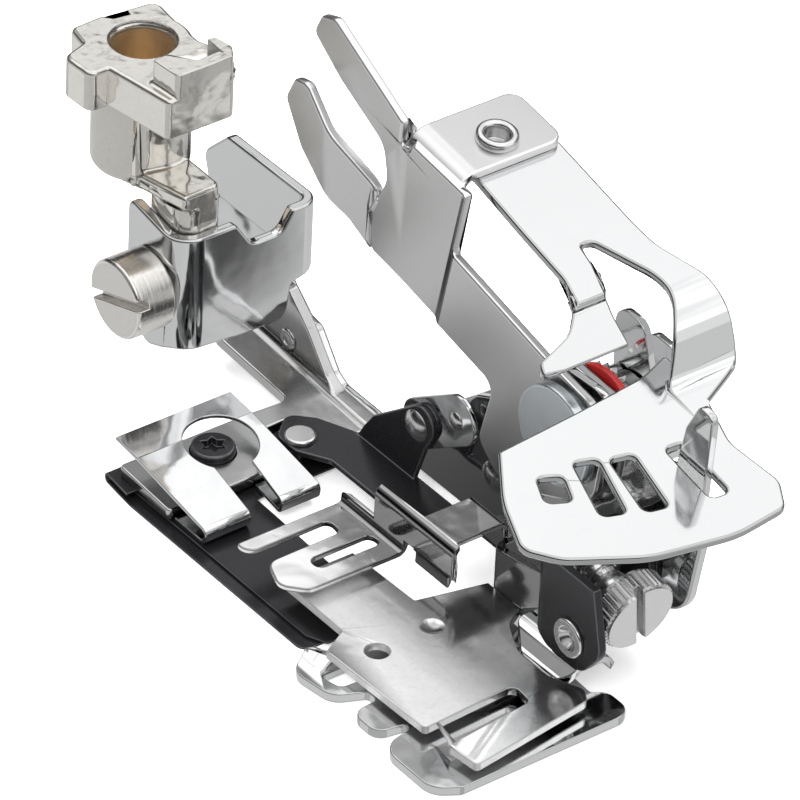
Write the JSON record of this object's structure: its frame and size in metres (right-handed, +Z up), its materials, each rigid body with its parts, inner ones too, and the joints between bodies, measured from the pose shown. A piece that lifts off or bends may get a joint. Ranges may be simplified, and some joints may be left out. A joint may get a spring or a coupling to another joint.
{
  "type": "ruffler presser foot",
  "caption": "Ruffling foot for a sewing machine: cast low-shank adapter, chromed frame, fork arm with a slotted pleat selector, ratchet, ruffling blades and a comb guide.",
  "frame": {"origin": "centre of the presser-bar bore's mouth, on the bore's axis", "axes": "+X to the machine's right along the pivot stud, +Y away from the operator, +Z up along the presser bar"},
  "size_m": [0.0422, 0.0865, 0.045],
  "materials": {
    "cast_nickel": "satin nickel over a casting",
    "chrome_sheet": "bright chrome",
    "satin_sheet": "satin chrome",
    "turned_steel": "turned",
    "black_steel": "blackened steel",
    "red_fibre": "matt"
  },
  "bodies": {
    "frame": {"shank_adapter": "cast_nickel", "frame_bracket": "chrome_sheet", "pivot_stud": "turned_steel", "stud_nut": "turned_steel", "foot_plate": "satin_sheet", "foot_rivet": "turned_steel", "sole_spring": "chrome_sheet", "sole_screw": "black_steel", "separator_blade": "black_steel", "base_plate": "chrome_sheet", "base_shim": "satin_sheet", "comb_guide": "chrome_sheet", "lower_guide": "chrome_sheet", "front_bracket": "chrome_sheet", "side_roll": "chrome_sheet", "frame_rivet": "turned_steel", "yoke": "black_steel", "ear_rivet": "turned_steel"},
    "clamp_screw_body": {"clamp_screw": "turned_steel"},
    "fork_arm_body": {"fork_arm": "satin_sheet", "arm_rivet": "turned_steel"},
    "selector_body": {"selector_plate": "chrome_sheet"},
    "drive_lever_body": {"drive_lever": "chrome_sheet"},
    "pawl_body": {"pawl_carrier": "chrome_sheet"},
    "ratchet_body": {"friction_ring": "red_fibre", "ratchet_wheel": "turned_steel", "cam_disc": "turned_steel"},
    "ruffling_body": {"ruffling_blade": "black_steel", "blade_carrier": "black_steel", "blade_rivet": "turned_steel", "drive_link": "chrome_sheet", "link_rivet": "turned_steel", "carrier_rivet": "turned_steel"},
    "adjusting_screw_body": {"adjusting_screw": "turned_steel"}
  },
  "joints": [
    {"name": "arm_pivot", "type": "hinge", "parent": "frame", "child": "fork_arm_body", "pos_m": [0.0098, -0.0552, -0.0163], "axis": [1, 0, 0], "range_deg": [-16, 10]},
    {"name": "lever_pivot", "type": "hinge", "parent": "frame", "child": "drive_lever_body", "pos_m": [0.01095, -0.0552, -0.0163], "axis": [1, 0, 0], "range_deg": [-16, 10]},
    {"name": "pawl_pivot", "type": "hinge", "parent": "frame", "child": "pawl_body", "pos_m": [0.0192, -0.0552, -0.0163], "axis": [1, 0, 0], "range_deg": [-16, 10]},
    {"name": "ratchet_turn", "type": "hinge", "parent": "frame", "child": "ratchet_body", "pos_m": [0.0142, -0.0552, -0.0163], "axis": [1, 0, 0], "continuous": true},
    {"name": "selector_play", "type": "hinge", "parent": "fork_arm_body", "child": "selector_body", "pos_m": [0.0163, -0.0332, 0.00187], "axis": [0, -0.1495, 0.9888], "range_deg": [-0.35, 0.35]},
    {"name": "blade_slide", "type": "slide", "parent": "frame", "child": "ruffling_body", "axis": [0, 1, 0], "range_m": [-0.0022, 0.0014]},
    {"name": "clamp_screw_turn", "type": "hinge", "parent": "frame", "child": "clamp_screw_body", "pos_m": [-0.0034, -0.0072, -0.0227], "axis": [1, 0, 0], "continuous": true},
    {"name": "adjusting_screw_turn", "type": "hinge", "parent": "frame", "child": "adjusting_screw_body", "pos_m": [0.0065, -0.0704, -0.0274], "axis": [0, 0.9763, 0.2164], "continuous": true}
  ],
  "couplings": [
    {"joint": "lever_pivot", "follows": "arm_pivot", "ratio": 1},
    {"joint": "pawl_pivot", "follows": "arm_pivot", "ratio": 1},
    {"joint": "blade_slide", "follows": "arm_pivot", "m_per_rad": 0.0078}
  ]
}
